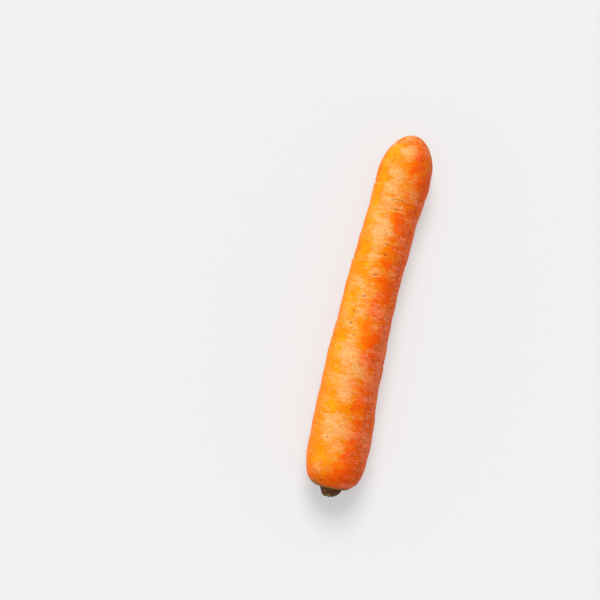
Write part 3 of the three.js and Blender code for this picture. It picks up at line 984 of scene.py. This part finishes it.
class CARROT_PG_colours(bpy.types.PropertyGroup):
    orange: colour_property("Orange", "Flesh seen through fresh skin", "#E86C04")
    # Deep orange is partly random tone and partly painted shade on the side away from the light.
    deep: colour_property("Deep orange", "Flesh at its reddest", "#EA5600")
    # Golden and amber are partly random tone and partly painted light on the side towards the light.
    golden: colour_property("Golden orange", "Flesh at its yellowest", "#DE7E05")
    amber: colour_property("Amber", "Flesh in yellow patches on the golden side", "#DE9405")
    # Painted light and shade: cream and chalk are lit copies of dried skin, pink and pale pink the shaded
    # ones. Cream is partly painted highlight; pink also colours healed patches at the crown.
    cream: colour_property("Cream", "Skin that has dried chalky, on the golden side", "#DF9D58")
    chalk: colour_property("Chalk", "Chalkiest spots, on the golden side", "#E4AC70")
    pink: colour_property("Pink", "Skin that has dried chalky, away from the light", "#F07446")
    shaded_chalk: colour_property("Pale pink", "Chalkiest spots, away from the light", "#F48E64")
    cork: colour_property("Cork", "Healed skin round scars", "#E69C64")
    scar: colour_property("Scar", "Inside of a side root's scar", "#6A3A14")
    crease: colour_property("Crease", "Bottom of a growth ring", "#A04814")
    speck: colour_property("Speck", "Pores and specks of soil", "#8A4517")
    tan: colour_property("Tan", "Weathered skin on the crown", "#C06C2A")
    # Partly painted shade: brown orange and the dulling colour below darken the skin towards the crown end;
    # the dulling colour also darkens fine mottling all over.
    brown: colour_property("Brown orange", "Flesh near the crown", "#C65402")
    mottle_and_shade: colour_property("Weathering", "Dulls the skin towards the crown", "#EEC49C")
    # Olive is greenish skin, and painted shadow where it reaches further out on the rim's low -X side.
    olive: colour_property("Olive", "Greenish skin at the rim of the dip", "#75581F")
    # Painted shade in the crown's dip.
    dip_shade: colour_property("Hollow", "Inside of the crown's dip", "#3A2410")
    stalk: colour_property("Stalk", "Dried leaf stalk", "#30160A")
    stalk_red: colour_property("Red stalk", "Redder blotches of the leaf stalks", "#6A2A14")
    stalk_speck: colour_property("Stalk speck", "Pale flecks of torn fibre", "#B4704C")
    stalk_olive: colour_property("Olive stalk", "Foot of a leaf stalk", "#5E5020")
    stalk_green: colour_property("Green stalk", "Freshly cut end of a leaf stalk", "#867A3E")


class CARROT_PG_stage(bpy.types.PropertyGroup):
    camera_height: length_property("Camera height", "Above the middle of the root", 1.0)
    side_turn: angle_property("Side turn", "Direction of the side light", 148)
    side_rise: angle_property("Side rise", "Height of the side light", 47)
    side_power: bpy.props.FloatProperty(
        name="Side power", description="Of the side light", default=152, unit="POWER"
    )
    top_turn: angle_property("Top turn", "Direction of the top light", 101)
    top_rise: angle_property("Top rise", "Height of the top light", 50)
    top_strength: bpy.props.FloatProperty(
        name="Top strength", description="Of the light on the table", default=3.7
    )
    top_width: angle_property("Top width", "How wide the top light looks", 28)
    softbox_distance: length_property("Softbox distance", "From the carrot to each softbox", 4.0)
    softbox_size: length_property("Softbox size", "Width of the side softbox", 2.0)
    sky_strength: bpy.props.FloatProperty(
        name="Fill", description="Strength of the even fill light", default=0.6
    )
    floor_radius: length_property("Table radius", "Of the flat table top", 6.0)
    sweep_radius: length_property("Sweep radius", "Of the curve up to the background", 3.0)
    floor_glow: bpy.props.FloatProperty(
        name="Table glow", description="Light of the table's own", default=0.42
    )
    sweep_glow: bpy.props.FloatProperty(
        name="Sweep glow", description="Of the background where the top light misses it", default=0.69
    )
    floor_colour: colour_property("Table", "Colour of the table top", "#959595")


# ----------------------------------------------------------------------------------------------------------
# Operators


class CARROT_OT_root(bpy.types.Operator):
    """Model the storage root with its rings, scars and crown, and give it its skin"""

    bl_idname = "carrot.root"
    bl_label = "Storage Root"

    def execute(self, context):
        piece = root_piece(context.scene.carrot_root)
        piece.data.materials.append(carrot_skin(context.scene.carrot_colours))
        return {"FINISHED"}


class CARROT_OT_stalks(bpy.types.Operator):
    """Model the cut leaf stalks in the crown and give them their dried tissue"""

    bl_idname = "carrot.leaf_stalks"
    bl_label = "Cut Leaf Stalks"

    def execute(self, context):
        piece = stalk_piece(context.scene.carrot_stalks)
        piece.data.materials.append(dry_stalk(context.scene.carrot_colours))
        return {"FINISHED"}


class CARROT_OT_stage(bpy.types.Operator):
    """Add the table top, the lights and the camera"""

    bl_idname = "carrot.stage"
    bl_label = "Stage"

    def execute(self, context):
        build_stage(context.scene.carrot_stage)
        return {"FINISHED"}


class CARROT_PT_panel(bpy.types.Panel):
    """Lists the carrot's pieces with their sizes and colours"""

    bl_idname = "CARROT_PT_panel"
    bl_label = "Fresh Carrot"
    bl_space_type = "VIEW_3D"
    bl_region_type = "UI"
    bl_category = "Carrot"

    def draw(self, context):
        for operator, group in OPERATORS:
            box = self.layout.box()
            box.operator(operator.bl_idname)
            settings = getattr(context.scene, group)
            for name in settings.__annotations__:
                box.prop(settings, name)
        box = self.layout.box()
        for name in context.scene.carrot_colours.__annotations__:
            box.prop(context.scene.carrot_colours, name)


OPERATORS = [
    (CARROT_OT_root, "carrot_root"),
    (CARROT_OT_stalks, "carrot_stalks"),
    (CARROT_OT_stage, "carrot_stage"),
]
GROUPS = {
    "carrot_root": CARROT_PG_root,
    "carrot_stalks": CARROT_PG_stalks,
    "carrot_colours": CARROT_PG_colours,
    "carrot_stage": CARROT_PG_stage,
}
CLASSES = [*GROUPS.values(), *(operator for operator, _ in OPERATORS), CARROT_PT_panel]


def register():
    """Adds the classes and the settings that they read."""
    for cls in CLASSES:
        bpy.utils.register_class(cls)
    for name, group in GROUPS.items():
        setattr(bpy.types.Scene, name, bpy.props.PointerProperty(type=group))


def unregister():
    """Takes the settings and the classes away again."""
    for name in GROUPS:
        delattr(bpy.types.Scene, name)
    for cls in reversed(CLASSES):
        bpy.utils.unregister_class(cls)


def main():
    """Builds the carrot and its stage."""
    register()
    bpy.ops.carrot.root()
    bpy.ops.carrot.leaf_stalks()
    bpy.ops.carrot.stage()


if __name__ == "__main__":
    main()
